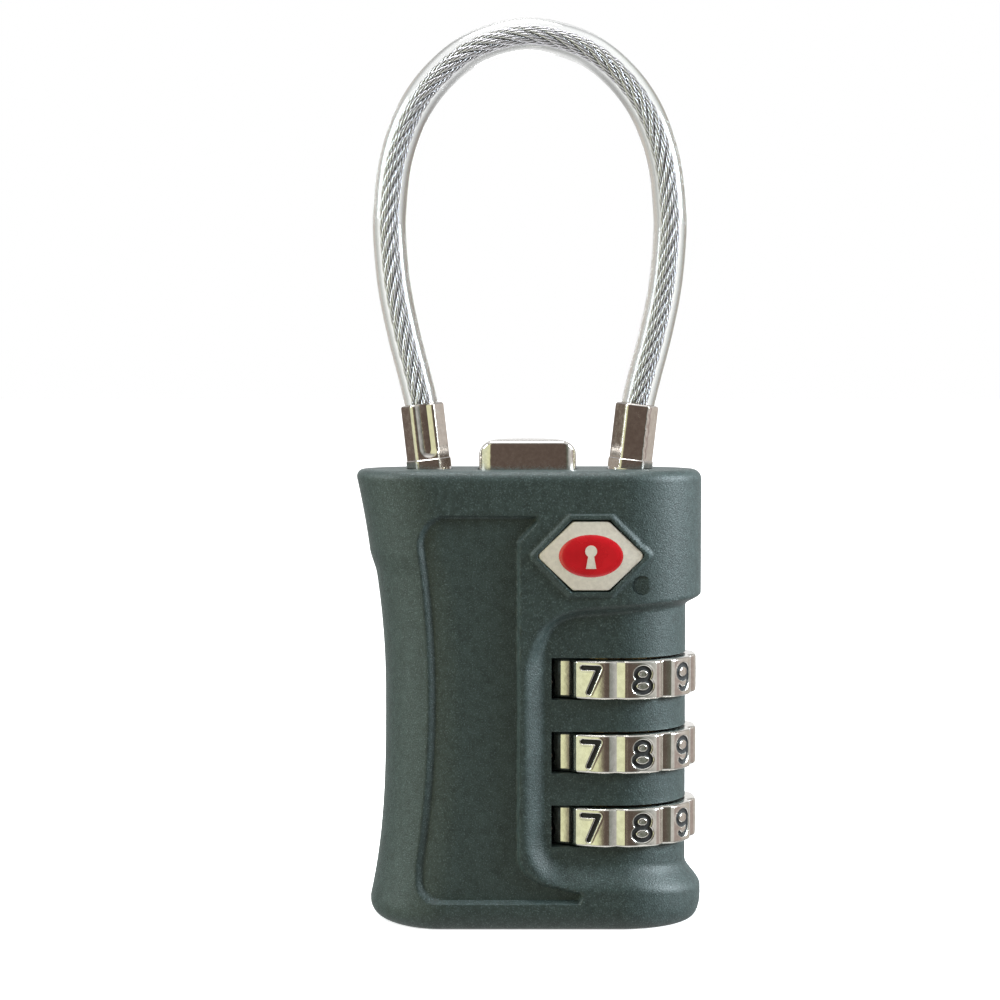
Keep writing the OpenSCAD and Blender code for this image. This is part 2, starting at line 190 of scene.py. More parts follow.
def rectangle(x0, x1, y0, y1):
    return np.array([[x0, y0], [x1, y0], [x1, y1], [x0, y1]], float)


def soft_rectangle(x0, x1, y0, y1, r, steps):
    return rounded([(x0, y0, r), (x1, y0, r), (x1, y1, r), (x0, y1, r)], steps)


def rounded(corners, steps=6):
    """Outline with each corner (x, z, radius) turned into an arc."""
    out = []
    n = len(corners)
    for i in range(n):
        p = np.array(corners[i][:2], float)
        r = corners[i][2]
        a = np.array(corners[i - 1][:2], float) - p
        b = np.array(corners[(i + 1) % n][:2], float) - p
        a, b = a / np.linalg.norm(a), b / np.linalg.norm(b)
        half = math.acos(np.clip(a @ b, -1, 1)) / 2
        reach = r / math.tan(half)
        centre = p + (a + b) / np.linalg.norm(a + b) * r / math.sin(half)
        v0, v1 = p + a * reach - centre, p + b * reach - centre
        for k in range(steps + 1):
            v = v0 * (1 - k / steps) + v1 * k / steps
            out.append(centre + v / np.linalg.norm(v) * r)
    return np.array(out)


def signed_distance(x, z, outline):
    """Distance to a closed outline, negative inside."""
    best = np.full(x.shape, 1e9)
    inside = np.zeros(x.shape, bool)
    for i in range(len(outline)):
        (ax, az), (bx, bz) = outline[i - 1], outline[i]
        dx, dz = bx - ax, bz - az
        t = np.clip(((x - ax) * dx + (z - az) * dz) / (dx * dx + dz * dz + 1e-12), 0, 1)
        best = np.minimum(best, np.hypot(x - ax - t * dx, z - az - t * dz))
        if az != bz:
            inside ^= ((az > z) != (bz > z)) & (x < dx * (z - az) / dz + ax)
    return np.where(inside, -best, best)


def mark_points(obj, name, values):
    """Stores one number for each point of the piece, for its material to read."""
    layer = obj.data.attributes.new(name, "FLOAT", "POINT")
    layer.data.foreach_set("value", np.array(values).ravel().astype(np.float32))


def cut(obj, cutters, sharp=35):
    """Takes each cutter's points and faces away from the piece."""
    for number, (points, faces) in enumerate(cutters):
        tool = make_piece(f"cutter_{number}", points, faces)
        step = obj.modifiers.new("cut", "BOOLEAN")
        step.operation, step.solver, step.object = "DIFFERENCE", "MANIFOLD", tool
        graph = bpy.context.evaluated_depsgraph_get()
        made = bpy.data.meshes.new_from_object(obj.evaluated_get(graph))
        if made.polygons:
            obj.data = made
        else:
            print("cut", number, "of", obj.name, "failed")
        obj.modifiers.clear()
        bpy.data.objects.remove(tool)
    shade(obj, sharp)


# ---------------------------------------------------------------- materials
def new_material(name):
    material = bpy.data.materials.new(name)
    material.use_nodes = True
    nodes = material.node_tree.nodes
    return material, nodes, material.node_tree.links, nodes["Principled BSDF"]


def noise(nodes, links, scale, detail=3.0, rough=0.5):
    place = nodes.new("ShaderNodeTexCoord")
    field = nodes.new("ShaderNodeTexNoise")
    field.inputs["Scale"].default_value = scale
    field.inputs["Detail"].default_value = detail
    field.inputs["Roughness"].default_value = rough
    links.new(place.outputs["Object"], field.inputs["Vector"])
    return field.outputs["Fac"]


def ramp(nodes, links, source, stops):
    node = nodes.new("ShaderNodeValToRGB")
    band = node.color_ramp
    while len(band.elements) < len(stops):
        band.elements.new(0.5)
    for element, (place, value) in zip(band.elements, stops):
        element.position = place
        element.color = (*value, 1) if isinstance(value, tuple) else (value, value, value, 1)
    links.new(source, node.inputs["Fac"])
    return node.outputs["Color"]


def mix_colours(nodes, links, share, first, second):
    """The first colour where share is 0, the second where it is 1; each is a socket or a tuple."""
    node = nodes.new("ShaderNodeMix")
    node.data_type = "RGBA"
    links.new(share, node.inputs[0])
    for socket, colour in ((node.inputs[6], first), (node.inputs[7], second)):
        if isinstance(colour, tuple):
            socket.default_value = (*colour, 1)
        else:
            links.new(colour, socket)
    return node.outputs[2]


def bump(nodes, links, shader, source, depth, strength=1.0, under=None):
    node = nodes.new("ShaderNodeBump")
    node.inputs["Distance"].default_value = depth
    node.inputs["Strength"].default_value = strength
    links.new(source, node.inputs["Height"])
    if under:
        links.new(under, node.inputs["Normal"])
    links.new(node.outputs["Normal"], shader.inputs["Normal"])
    return node.outputs["Normal"]


def plastic(name, dark, light, speck, rough=0.5):
    """Sandblasted moulded plastic: fine grain, with paler specks."""
    material, nodes, links, shader = new_material(name)
    grain = noise(nodes, links, 7000, 2.0, 0.6)
    patches = noise(nodes, links, 1500, 5.0, 0.7)
    base = ramp(nodes, links, patches, [(0.3, dark), (0.7, light)])
    specks = ramp(nodes, links, noise(nodes, links, 8200, 2.0, 0.7), [(0.54, 0.0), (0.72, 0.75)])
    links.new(mix_colours(nodes, links, specks, base, speck), shader.inputs["Base Color"])
    gloss = ramp(nodes, links, grain, [(0.3, rough - 0.07), (0.7, rough + 0.08)])
    links.new(gloss, shader.inputs["Roughness"])
    first = bump(nodes, links, shader, patches, 0.00005, 0.3)
    bump(nodes, links, shader, grain, 0.00005, 0.8, first)
    return material


def metal(name, colour, rough, peel=0.3, scale=1400, tint=0.88, full=1.0):
    """Plated or bare metal: slight unevenness in gloss and surface."""
    material, nodes, links, shader = new_material(name)
    field = noise(nodes, links, scale, 3.0, 0.6)
    shade_a = tuple(c * tint for c in colour)
    links.new(ramp(nodes, links, field, [(0.35, shade_a), (0.65, colour)]), shader.inputs["Base Color"])
    shader.inputs["Metallic"].default_value = full
    links.new(ramp(nodes, links, field, [(0.4, rough), (0.75, rough + 0.1)]), shader.inputs["Roughness"])
    bump(nodes, links, shader, field, 0.00004, peel)
    return material


def dial_metal(name):
    """Nickel plate with black paint where the attribute `ink` is set."""
    material, nodes, links, shader = new_material(name)
    field = noise(nodes, links, 1500, 3.0, 0.6)
    ink = nodes.new("ShaderNodeAttribute")
    ink.attribute_name = "ink"
    ink = ink.outputs["Fac"]
    painted = ramp(nodes, links, ink, [(0.45, 0.0), (0.6, 1.0)])
    plate = ramp(nodes, links, field, [(0.35, (0.66, 0.64, 0.59)), (0.65, (0.78, 0.76, 0.71))])
    black = (0.006, 0.006, 0.006)
    links.new(mix_colours(nodes, links, painted, plate, black), shader.inputs["Base Color"])
    links.new(ramp(nodes, links, ink, [(0.45, 1.0), (0.6, 0.0)]), shader.inputs["Metallic"])
    links.new(ramp(nodes, links, ink, [(0.3, 0.16), (0.6, 0.65)]), shader.inputs["Roughness"])
    bump(nodes, links, shader, field, 0.00003, 0.35)
    return material


def wire_with_painted_gap_shade(name):
    """Bright drawn wire, with painted shade darkening the gaps between wires, where the attribute `crown`
    is low.
    """
    material, nodes, links, shader = new_material(name)
    crown = nodes.new("ShaderNodeAttribute")
    crown.attribute_name = "crown"
    # painted shade: base colour falls to near black where a wire lies deep in the gaps
    links.new(ramp(nodes, links, crown.outputs["Fac"],
                   [(0.08, (0.07, 0.07, 0.075)), (0.4, (0.45, 0.445, 0.47)), (0.8, (0.92, 0.91, 0.97))]),
              shader.inputs["Base Color"])
    field = noise(nodes, links, 3500, 3.0, 0.6)
    shader.inputs["Metallic"].default_value = 0.97
    links.new(ramp(nodes, links, field, [(0.4, 0.14), (0.75, 0.26)]), shader.inputs["Roughness"])
    bump(nodes, links, shader, field, 0.00003, 0.25)
    return material


def clear_pvc(name):
    """Clear soft plastic, very slightly cloudy."""
    material, nodes, links, shader = new_material(name)
    shader.inputs["Transmission Weight"].default_value = 0.94
    shader.inputs["IOR"].default_value = 1.48
    field = noise(nodes, links, 700, 2.0)
    links.new(ramp(nodes, links, field, [(0.3, (0.95, 0.96, 0.955)), (0.7, (0.98, 0.985, 0.98))]),
              shader.inputs["Base Color"])
    links.new(ramp(nodes, links, field, [(0.3, 0.02), (0.8, 0.09)]), shader.inputs["Roughness"])
    bump(nodes, links, shader, field, 0.00002, 0.3)
    return material


def enamel(name, colour):
    """Fired enamel under a clear gloss."""
    material, nodes, links, shader = new_material(name)
    field = noise(nodes, links, 420, 3.0)
    links.new(ramp(nodes, links, field, [(0.3, tuple(c * 0.75 for c in colour)), (0.7, colour)]),
              shader.inputs["Base Color"])
    shader.inputs["Coat Weight"].default_value = 1.0
    shader.inputs["Coat Roughness"].default_value = 0.04
    links.new(ramp(nodes, links, field, [(0.3, 0.2), (0.7, 0.32)]), shader.inputs["Roughness"])
    bump(nodes, links, shader, field, 0.00005, 0.15)
    return material


MATERIALS = {
    "case_plastic": plastic("case_plastic", (0.013, 0.024, 0.023), (0.035, 0.056, 0.054),
                            (0.12, 0.165, 0.165)),
    "slide_plastic": plastic("slide_plastic", (0.012, 0.016, 0.016), (0.02, 0.025, 0.025),
                             (0.05, 0.06, 0.06)),
    "badge_metal": metal("badge_metal", (0.95, 0.88, 0.79), 0.42, 0.3, 2600, full=0.45),
    "badge_enamel": enamel("badge_enamel", (0.66, 0.005, 0.014)),
    "chrome": metal("chrome", (0.74, 0.71, 0.67), 0.09, 0.25, 3800),
    "ferrule_nickel": metal("ferrule_nickel", (0.74, 0.70, 0.66), 0.14, 0.2, 2200),
    "dial_nickel": dial_metal("dial_nickel"),
    "jacket_clear": clear_pvc("jacket_clear"),
    "rope_steel": wire_with_painted_gap_shade("rope_steel"),
    "brass": metal("brass", (0.72, 0.53, 0.25), 0.25, 0.3, 1200),
    "steel": metal("steel", (0.56, 0.56, 0.54), 0.3, 0.3, 1500),
    "spring_steel": metal("spring_steel", (0.60, 0.60, 0.58), 0.22, 0.3, 1500),
}


def paint(obj, name):
    obj.data.materials.clear()
    obj.data.materials.append(MATERIALS[name])


def cover(obj, name, *nodes):
    """Gives a new piece its material and slot, and hides the CAD nodes it stands for."""
    paint(obj, name)
    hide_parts(*nodes)


def dress(obj, name, body, *nodes):
    """Covers a new piece and lets it ride on a body."""
    cover(obj, name, *nodes)
    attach(obj, body)


# ---------------------------------------------------------------- camera
def make_camera():
    """Long lens a little over two tenths of a metre away, slightly above, looking down 2.7 degrees."""
    camera = bpy.data.objects.new("camera", bpy.data.cameras.new("camera"))
    camera.data.lens = 85.3
    camera.data.sensor_width = 36
    camera.location = (-2.66 * MM, -213 * MM, (47.1 + LIFT) * MM)
    camera.rotation_euler = (math.radians(90 - 2.71), 0, 0)
    camera.data.clip_start, camera.data.clip_end = 0.01, 10
    bpy.context.scene.collection.objects.link(camera)
    bpy.context.scene.camera = camera


# ---------------------------------------------------------------- cable
HALF_ROUTE = [(9.14, 41.05), (9.42, 43.5), (9.8, 46), (10.4, 48.5), (11.3, 52), (12.1, 56),
              (12.5, 60), (12.52, 63), (11.95, 67.5), (10.4, 71.8), (7.9, 75.15), (4.6, 77.5), (0, 78.55)]


def cable_line(step=0.25):
    """Smooth line through the route, with points a step apart, in X and Z."""
    knots = [(-x, z) for x, z in HALF_ROUTE] + HALF_ROUTE[-2::-1]
    k = np.array([2 * np.array(knots[0]) - knots[1], *knots, 2 * np.array(knots[-1]) - knots[-2]], float)
    out = []
    for a, b, c, d in zip(k, k[1:], k[2:], k[3:]):
        for t in np.arange(0, 1, 0.02):
            out.append(0.5 * (2 * b + (c - a) * t + (2 * a - 5 * b + 4 * c - d) * t ** 2
                              + (3 * b - a - 3 * c + d) * t ** 3))
    out = np.array(out + [k[-2]])
    run = np.concatenate([[0], np.cumsum(np.linalg.norm(np.diff(out, axis=0), axis=1))])
    at = np.linspace(0, run[-1], int(run[-1] / step) + 1)
    return np.column_stack([np.interp(at, run, out[:, 0]), np.interp(at, run, out[:, 1])]), at


def frames_along(line):
    """Centre, and the two directions across the line, at each of its points."""
    centre = np.column_stack([line[:, 0], np.zeros(len(line)), line[:, 1]])
    along = np.gradient(line, axis=0)
    along /= np.linalg.norm(along, axis=1)[:, None]
    side = np.column_stack([-along[:, 1], np.zeros(len(line)), along[:, 0]])
    return centre, side, np.tile([0.0, 1.0, 0.0], (len(line), 1))


def wire_rings(centre, side, back, radius, sides):
    a = np.arange(sides) * 2 * math.pi / sides
    return (centre[:, None] + radius * (np.cos(a)[None, :, None] * side[:, None]
                                        + np.sin(a)[None, :, None] * back[:, None]))


def rope_wires(step):
    """Points and faces of the rope's wires, with how far each point stands out, from 0 to 1."""
    strands, wires = 6, 6
    strand_off, wire_off, wire_r = 0.40, 0.14, 0.06
    strand_lay, wire_lay = 9.6, 4.6
    line, at = cable_line(step)
    centre, side, back = frames_along(line)

    def around(middle, off, turns):
        a = 2 * math.pi * turns[:, None]
        return middle + off * (np.cos(a) * side + np.sin(a) * back)

    parts, crown = [], []
    for strand in range(strands + 1):   # the last one is the core
        off = 0 if strand == strands else strand_off
        middle = around(centre, off, strand / strands - at / strand_lay)
        for wire in range(wires):
            place = around(middle, wire_off, at / wire_lay + wire / wires)
            rings = wire_rings(place, side, back, wire_r, 6)
            out_of_rope = np.linalg.norm(rings - centre[:, None], axis=2)
            out_of_strand = np.linalg.norm(rings - middle[:, None], axis=2)
            # low where a point lies deep between wires; the material paints shade there
            outermost = np.clip((out_of_rope - 0.33) / 0.16, 0, 1)
            crown.append(outermost * np.clip((out_of_strand - 0.135) / 0.06, 0, 1))
            parts.append(tube(rings))
    return *join_parts(parts), crown


def make_cable():
    points, faces, crown = rope_wires(0.25)
    rope = make_piece("steel_rope", points, faces, sharp=80)
    # crown drives the painted shade in the rope's gaps
    mark_points(rope, "crown", crown)
    cover(rope, "rope_steel", "cable_rope")
    line, _ = cable_line(0.4)
    centre, side, back = frames_along(line)
    skin = tube(wire_rings(centre, side, back, JACKET_D / 2, 32))
    jacket = make_piece("clear_jacket", *skin, sharp=60)
    cover(jacket, "jacket_clear", "cable_jacket")
    for piece in (rope, jacket):
        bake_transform(piece)
    line = line + [0, LIFT]


# ---------------------------------------------------------------- case
def left_edge(z):
    """Left edge of the case: waisted, with a soft shoulder below the top."""
    waist = np.where(z > 20, -12.97 - 0.007 * (z - 20) ** 2, -12.97 - 2.15e-4 * (20 - z) ** 3)
    return waist - 0.27 * smooth((z - 30.4) / 2.2) * np.clip((38.8 - z) / 6.2, 0, 1)


def fillet_rows():
    """Heights of the grid's rows, with how far the outline is drawn in at each."""
    foot = [(FOOT_Z + FOOT_R - FOOT_R * math.cos(a), FOOT_R - FOOT_R * math.sin(a))
            for a in np.linspace(0, math.pi / 2, 12)]
    count = int((CASE_H - CROWN_R - FOOT_R) / 0.16)
    wall = [(z, 0.0) for z in np.linspace(FOOT_Z + FOOT_R, CASE_H - CROWN_R, count)[1:-1]]
    crown = [(CASE_H - CROWN_R + CROWN_R * math.sin(a), CROWN_R - CROWN_R * math.cos(a))
             for a in np.linspace(0, math.pi / 2, 9)]
    rows = np.array(foot + wall + crown)
    return rows[:, 0], rows[:, 1]


def panel_outline():
    left = [(-8.71 - (z - 19.8) ** 2 / 188, z, 0.05) for z in np.linspace(5.2, 33, 12)]
    return rounded([(-9.9, 35.9, 2.4), (0.95, 35.9, 0.3), (-1.05, 33.75, 0.5), (-1.05, 4.8, 2.6),
                    (0.9, 3.65, 1.5), (4.6, 2.75, 0.3), (4.3, 2.05, 0.25), (-9.9, 2.05, 1.7), *left])


def hexagon(width, height, top, corner):
    return rounded([(BADGE[0] + x, BADGE[2] + z, corner) for x, z in
                    [(width / 2, 0), (top / 2, height / 2), (-top / 2, height / 2),
                     (-width / 2, 0), (-top / 2, -height / 2), (top / 2, -height / 2)]], 4)


def dial_recess(x, z):
    """How far the surface is down in the dials' recess, from 0 to 1, with soft shoulders."""
    right = np.clip((x - 9) / 6, 0, 1)
    # distance in from each wall, and that wall's width: left, top, bottom, top left corner
    walls = [(x + 0.6, 1.9),
             (27.75 + 0.07 * (x - 1) - z, 0.95 + 0.1 * right),
             (z - 2.95 + 0.7 * right, 2.5),
             ((x + 26.15 - z) / math.sqrt(2), 1.3)]
    bend = 2.0
    gap = sum(np.clip(bend - d / w, 0, None) ** 2 for d, w in walls)
    return smooth(1 - (np.sqrt(gap) - (bend - 1)))


def plain_half():
    """The front half's outline at each height: X, Y, Z, how far it is drawn in, and the way it faces."""
    heights, draw = fillet_rows()
    z, draw = heights[:, None], draw[:, None]
    left_t = np.radians(np.linspace(180, 270, 92))
    right_t = np.radians(np.linspace(270, 360, 60))
    flat = np.linspace(0, 1, 146)[1:-1][None, :]
    left_c = left_edge(z) + LEFT_R
    back = HALF_T - draw * np.where(z < CASE_H / 2, FOOT_FLAT, 1)
    middle = left_c * (1 - flat) + RIGHT_C * flat
    x = np.hstack([left_c + (LEFT_R - draw) * np.cos(left_t), middle, RIGHT_C + back * np.cos(right_t)])
    y = np.hstack([back * np.sin(left_t), -back + 0 * middle, back * np.sin(right_t)])
    facing_x = np.hstack([np.cos(left_t), 0 * flat[0], np.cos(right_t)]) + 0 * x
    facing_y = np.hstack([np.sin(left_t), 0 * flat[0] - 1, np.sin(right_t)]) + 0 * x
    return x, y, z + 0 * x, draw, facing_x, facing_y


def case_half(name, front):
    """Half of the case as one closed solid: outer skin, flat split face, top and bottom."""
    plain_x, plain_y, z, draw, facing_x, facing_y = plain_half()
    # recess round the dials: towards a narrower outline about their axis
    share = np.clip((plain_x - WINDOW_X) / (RIGHT_C - WINDOW_X), 0, 1)
    inner_x = np.where(facing_x > 0, DIAL_X + RIB_R * facing_x, plain_x - (RIGHT_C - DIAL_X) * share)
    down = dial_recess(plain_x, z) * (draw == 0)
    x = plain_x * (1 - down) + inner_x * down
    y = plain_y * (1 - down) + RIB_R * facing_y * down
    # sunk panel, with a wider wall down its left side
    wall = 0.3 + 0.28 * smooth((-7 - plain_x) / 2) * smooth((34.6 - z) / 1.5)
    sunk = PANEL_DEPTH * smooth(0.5 - signed_distance(plain_x, z, panel_outline()) / wall)
    x, y = x - sunk * facing_x, y - sunk * facing_y
    if front:
        gap = signed_distance(plain_x, z, hexagon(10.7, 7.15, 3.75, 0.35))
        rim = smooth(0.5 - gap / 0.24)
        y = y * (1 - rim) - (HALF_T + BADGE_RIM) * rim
        pocket = smooth(0.5 - (gap + 0.52) / 0.16)
        y = y * (1 - pocket) - (HALF_T - BADGE_POCKET) * pocket
    else:
        y = -y
    # the skin's two edges lie on the split face, drawn in by the seam
    y[:, 0] = y[:, -1] = 0
    x[:, 0] += SEAM
    x[:, -1] -= SEAM
    rows, cols = x.shape
    faces = grid_faces(rows, cols)
    faces += [(j * cols + cols - 1, j * cols, (j + 1) * cols, (j + 1) * cols + cols - 1)
              for j in range(rows - 1)]
    faces += [tuple(range(cols)), tuple(range((rows - 1) * cols, rows * cols))]
    return make_piece(name, np.column_stack([x.ravel(), y.ravel(), z.ravel()]), faces)


def lean_point(points, side):
    """From a cable end's own frame to the pieces' frame; side is 1 right, -1 left."""
    p = np.asarray(points, float)
    x = p[..., 0] * math.cos(LEAN) + side * (p[..., 2] * math.sin(LEAN) + FERRULE_X)
    z = p[..., 2] * math.cos(LEAN) - side * p[..., 0] * math.sin(LEAN) + FERRULE_Z
    return np.stack([x, p[..., 1], z], axis=-1)


def lean_cutter(side, r, z0, z1):
    points, faces = prism(circle(r), z0, z1)
    return lean_point(points, side), faces


def case_cutters(front):
    cutters = []
    # windows, and the space that the dials turn in
    for z in DIAL_Z:
        low, high = z + WINDOW_UP - WINDOW_H / 2, z + WINDOW_UP + WINDOW_H / 2
        cutters.append(prism(circle(DIAL_R + 0.2, 96, DIAL_X), low, high))
        cutters.append(prism(soft_rectangle(WINDOW_X, 18, -9, 9, 0.05, 2), low, high))
    # bore of the sleeve, and the hole under it for the spindle
    cutters.append(prism(circle(4.5, 64, DIAL_X), 3.9, 26))
    cutters.append(prism(circle(1.7, 48, DIAL_X), 0.5, 4.5))
    # space of the latch, then those of the button's flange and of the button
    cutters.append(prism(soft_rectangle(-11.5, 12, -5, 5, 4.5, 10), 25.5, 35.3))
    cutters.append(prism(rectangle(-5.35, 4.95, -3.75, 3.75), 34.8, 38))
    cutters.append(prism(soft_rectangle(-4.65, 4.25, -3.1, 3.1, 1.3, 8), 37.5, 42))
    # sockets of the free and the fixed cable end
    cutters.append(lean_cutter(1, 2.08, -7.5, 2))
    cutters.append(lean_cutter(-1, 2.08, -3.7, 2))
    # key barrel, the keyway's opening below it and the cam's stem above it
    cutters.append(prism(circle(4.03, 64, KEY_X), 0.3, 13.4))
    cutters.append(prism(circle(3.0, 64, KEY_X), -1, 2))
    cutters.append(prism(circle(1.2, 32, KEY_X), 13, 26))
    if front:
        # dot below the badge's right corner
        dot, faces = prism(circle(0.85, 40, 9.7, 29.9), 7.1, 9)
        cutters.append((dot[:, [0, 2, 1]] * [1, -1, 1], faces))
    else:
        # channel of the detent spring, and the slot of the reset slide
        cutters.append(prism(rectangle(-1.3, 0.5, 1.2, 5.1), 5.6, 24.9))
        cutters.append(prism(rectangle(DIAL_X - 1.3, DIAL_X + 1.3, 3, 9), 24.85, 26.6))
    return cutters


def make_case():
    for name, front in (("case_front", True), ("case_rear", False)):
        shell = case_half(name, front)
        cut(shell, case_cutters(front))
        dress(shell, "case_plastic", "case", "front_shell" if front else "rear_shell")


# ---------------------------------------------------------------- dials
def arc(cx, cz, rx, rz, start, end, steps=18):
    a = np.radians(np.linspace(start, end, steps))
    return [(cx + rx * math.cos(t), cz + rz * math.sin(t)) for t in a]


DIGITS = {
    0: [arc(0, 0, 0.68, 1, 0, 360, 32)],
    1: [[(-0.38, 0.6), (0.1, 1), (0.1, -1)]],
    2: [arc(0, 0.45, 0.62, 0.55, 165, -35) + [(-0.66, -1), (0.68, -1)]],
    3: [arc(-0.05, 0.48, 0.6, 0.52, 150, -90), arc(-0.05, -0.48, 0.68, 0.52, 90, -150)],
    4: [[(0.32, -1), (0.32, 1), (-0.7, -0.38), (0.72, -0.38)]],
    5: [[(0.6, 1), (-0.48, 1), (-0.56, 0.12)] + arc(-0.02, -0.36, 0.68, 0.64, 140, -150)],
    6: [arc(0, -0.42, 0.74, 0.58, 0, 360, 26), arc(0, 0, 0.74, 1, 205, 50)],
    7: [[(-0.68, 1), (0.7, 1), (-0.16, -1)]],
    8: [arc(0, 0.5, 0.6, 0.5, 0, 360, 24), arc(0, -0.48, 0.74, 0.52, 0, 360, 26)],
    9: [arc(0, 0.42, 0.74, 0.58, 0, 360, 26), arc(0, 0, 0.74, 1, 25, -130)],
}


def digit_distance(digit, s, z):
    best = np.full(s.shape, 1e9)
    for line in DIGITS[digit]:
        for (ax, az), (bx, bz) in zip(line, line[1:]):
            ax, bx, az, bz = ax * 1.1, bx * 1.1, az * 1.08, bz * 1.08
            dx, dz = bx - ax, bz - az
            t = np.clip(((s - ax) * dx + (z - az) * dz) / (dx * dx + dz * dz), 0, 1)
            best = np.minimum(best, np.hypot(s - ax - t * dx, z - az - t * dz))
    return best


def dial_profile(face_rows):
    """Section of a dial as (on the face, r, z); r is the radius, or the depth below the face."""
    half, bevel = DIAL_T / 2, 0.27
    turn = np.linspace(0, math.pi / 2, 6)
    # counterbore's floor, bore and top; upper rim; face; lower rim; underside and counterbore
    profile = [(False, 5.3, half - 0.7), (False, 4.46, half - 0.7), (False, 4.46, half), (False, 6.0, half)]
    profile += [(True, bevel - bevel * math.sin(a), half - bevel + bevel * math.cos(a)) for a in turn]
    profile += [(True, 0, z) for z in np.linspace(half - bevel, bevel - half, face_rows)[1:-1]]
    profile += [(True, bevel - bevel * math.cos(a), bevel - half - bevel * math.sin(a)) for a in turn]
    return profile + [(False, 6.0, -half), (False, 5.3, -half), (False, 5.3, half - 0.7)]


def dial_rings():
    """Rings of a dial's section about the dials' axis, and the paint at each point, from 0 to 1."""
    cols, face_rows = ((720, 48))
    groove_depth, groove_half = 0.35, 0.72
    paint_half, dip_half, dip_depth = 0.16, 0.13, 0.15
    ridge_off, ridge_width, ridge_height = 0.31, 0.07, 0.03
    theta = np.arange(cols) * 2 * math.pi / cols
    tenths = theta / (2 * math.pi) * 10
    land = np.mod(tenths + 0.5, 1) - 0.5
    across = (0.5 - np.abs(land)) * 2 * math.pi * DIAL_R / 10
    groove = groove_depth * np.clip(1 - across / groove_half, 0, 1)
    groove += 0.07 * smooth(1 - np.clip(across - groove_half, 0, None) / 0.35)
    digit = np.mod(np.round(tenths), 10).astype(int)
    from_middle = land * 2 * math.pi * DIAL_R / 10
    rings, ink = [], []
    for on_face, r, z in dial_profile(face_rows):
        if on_face:
            gap = np.full(cols, 1e9)
            for d in range(10):
                here = digit == d
                gap[here] = digit_distance(d, from_middle[here], np.full(here.sum(), z))
            dip = dip_depth * (1 - smooth((gap - dip_half) / 0.12))
            ridge = ridge_height * np.exp(-((gap - ridge_off) / ridge_width) ** 2)
            radius = DIAL_R - r - groove - dip + ridge
            ink.append(1 - smooth((gap - paint_half) / 0.09))
        else:
            radius = np.full(cols, r)
            ink.append(np.zeros(cols))
        rings.append(np.column_stack([DIAL_X + radius * np.cos(theta), radius * np.sin(theta),
                                      np.full(cols, z)]))
    return np.array(rings), ink


def make_dials():
    rings, ink = dial_rings()
    faces = grid_faces(*rings.shape[:2], wrap=True)
    for number, z in enumerate(DIAL_Z, 1):
        points = rings.reshape(-1, 3) + [0, 0, z]
        dial = make_piece(f"number_dial_{number}", points, faces, sharp=50)
        mark_points(dial, "ink", ink)
        dress(dial, "dial_nickel", f"dial_{number}", f"dial_{number}")


# ---------------------------------------------------------------- cable ends
def ferrule_rings(pin, side):
    """Rings up the outside of a cable end and down its socket, in its own frame."""
    cols, collar_top, edge = 120, 5.6, 0.25
    phi = np.arange(cols) * 2 * math.pi / cols
    flats = np.radians(30 + 60 * np.arange(6))
    reach = np.clip(np.cos(phi[:, None] - flats[None, :]), 0, None)
    hexagon_r = 1.72 / (reach ** 26).sum(1) ** (1 / 26)
    in_front = np.sin(phi) < -0.3
    # height, radius (or how far out of the hexagon), and whether the ring is hexagonal
    levels = [(z, r, False) for z, r in pin] + [(0.0, 0.08, True), (0.8, 0.08, True)]
    levels += [(z, 0, True) for z in np.linspace(0.88, collar_top, 60)]
    levels += [(collar_top + edge * math.sin(a), edge * math.cos(a) - edge, True)
               for a in np.linspace(0.3, 1.57, 5)]
    rings = []
    for z, r, hexed in levels:
        radius = hexagon_r + r if hexed else np.full(cols, r)
        x = radius * np.cos(phi)
        if hexed and side < 0:
            # round dent low on the fixed end's front
            off = np.hypot((x - 0.22) / 0.86, max(0, 1.9 - z) / 0.9)
            radius = radius - 0.3 * np.clip(1 - off ** 2, 0, 1) ** 0.8 * in_front
        elif hexed:
            # shallow wavy groove up the free end's front
            off = np.abs(x - 1.1 - 0.04 * math.sin(z * 6))
            radius = radius - 0.05 * smooth((0.16 - off) / 0.12) * in_front * (z > 1)
        rings.append(np.column_stack([radius * np.cos(phi), radius * np.sin(phi), np.full(cols, z)]))
    # mouth and socket
    for z, r in [(5.86, 1.56), (5.75, 1.51), (1.0, 1.51), (1.0, 0.02)]:
        rings.append(np.column_stack([r * np.cos(phi), r * np.sin(phi), np.full(cols, z)]))
    return rings


def make_ferrules():
    fixed_pin = [(-3.5, 0.02), (-3.5, 1.7), (-3.3, PIN_R), (0, PIN_R)]
    free_pin = [(-6.95, 0.02), (-6.95, 1.25), (-6.85, 1.35), (-6.35, 1.9), (-6.12, PIN_R), (-6.12, 1.2),
                (-5.15, 1.2), (-5.15, 1.9), (-5.05, PIN_R), (0, PIN_R)]
    for name, pin, side, body, node in (("fixed_cable_end", fixed_pin, -1, "case", "fixed_ferrule"),
                                        ("free_cable_end", free_pin, 1, "free_end", "free_ferrule")):
        points, faces = tube(ferrule_rings(pin, side))
        end = make_piece(name, lean_point(points, side), faces, sharp=40)
        dress(end, "ferrule_nickel", body, node)


# ---------------------------------------------------------------- button
def button_outline(inset):
    r = max(BUTTON_EDGE - inset, 0.05)
    x, y = BUTTON_W / 2 - inset, BUTTON_D / 2 - inset
    return soft_rectangle(-x, x, -y, y, r, 12)


def crowned(plan, z):
    """Height of the crowned top over each point of a plan; z is its height in the middle."""
    u = np.abs(plan[:, 0]) / (BUTTON_W / 2)
    return z - 0.25 * u ** 2 - 0.8 * u ** 8


